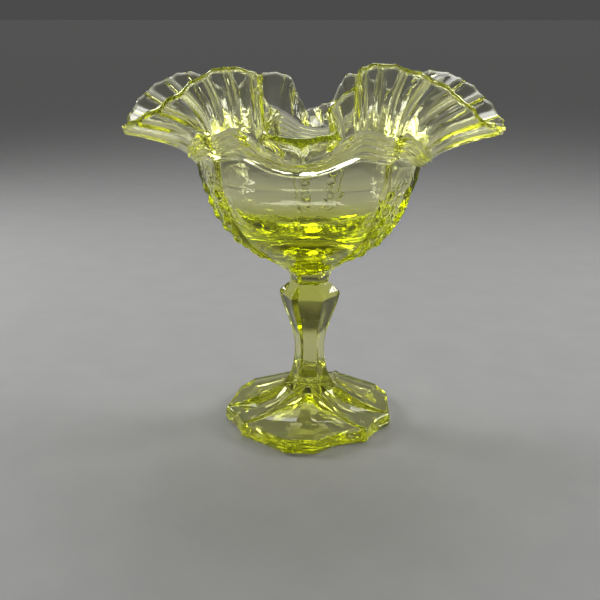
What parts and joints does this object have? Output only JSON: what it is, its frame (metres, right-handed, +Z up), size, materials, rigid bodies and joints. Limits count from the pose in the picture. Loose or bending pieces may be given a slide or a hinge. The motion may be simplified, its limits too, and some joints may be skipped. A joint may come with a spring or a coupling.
{
  "type": "pedestal dish",
  "caption": "Pressed yellow-green glass pedestal dish with a scooped foot, faceted stem, round bowl and crimped ruffled rim.",
  "frame": {"origin": "middle of the foot's resting face, on the stem's axis", "axes": "+Z up along the stem, -Y towards the front tongue of the rim, +X towards the right lobe"},
  "size_m": [0.1686, 0.1491, 0.1676],
  "materials": {
    "glass": "clear yellow-green pressed glass, fire-polished, deeper colour where the glass is thick"
  },
  "bodies": {
    "root": {"foot": "glass", "stem_shaft": "glass", "stem_baluster": "glass", "stem_knop": "glass", "neck": "glass", "bowl": "glass", "ribbed_band": "glass", "ruffled_rim": "glass"}
  },
  "joints": []
}
